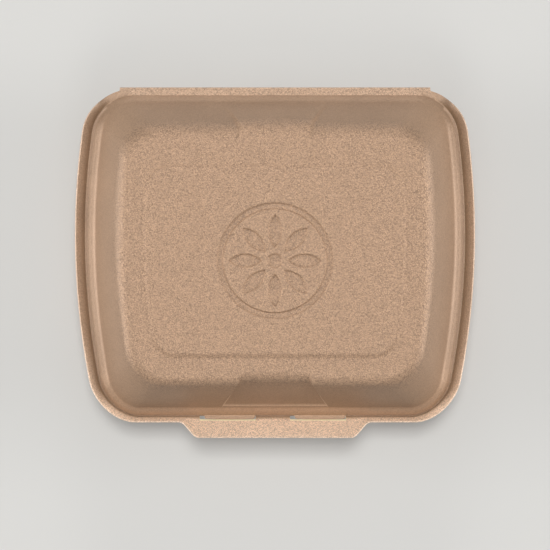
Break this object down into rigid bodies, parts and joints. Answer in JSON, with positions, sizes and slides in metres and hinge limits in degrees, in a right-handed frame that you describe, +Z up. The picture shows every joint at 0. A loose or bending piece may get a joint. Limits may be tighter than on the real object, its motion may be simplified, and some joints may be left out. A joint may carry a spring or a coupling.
{
  "type": "hinged foam lunch box",
  "caption": "Shallow rectangular takeaway box in gold-skinned foam, closed by a hinged lid with front tongues that sit in slots under a pull tab.",
  "frame": {"origin": "centre of the closed box's bounding box, on the plane that the base stands on", "axes": "+X to the right along the width, +Y back towards the hinge, +Z up; the tab is at -Y"},
  "size_m": [0.24, 0.2097, 0.074],
  "materials": {
    "foam": "expanded polystyrene sheet with a satin gold skin and a fine pebble grain",
    "fold": "the same sheet pressed thin along the fold"
  },
  "bodies": {
    "tray": {"tray": "foam", "live_hinge": "fold"},
    "lid": {"lid": "foam"}
  },
  "joints": [
    {"name": "lid_hinge", "type": "hinge", "parent": "tray", "child": "lid", "pos_m": [0, 0.1035, 0.03715], "axis": [-1, 0, 0], "range_deg": [0, 180], "deforming": ["live_hinge"]}
  ]
}
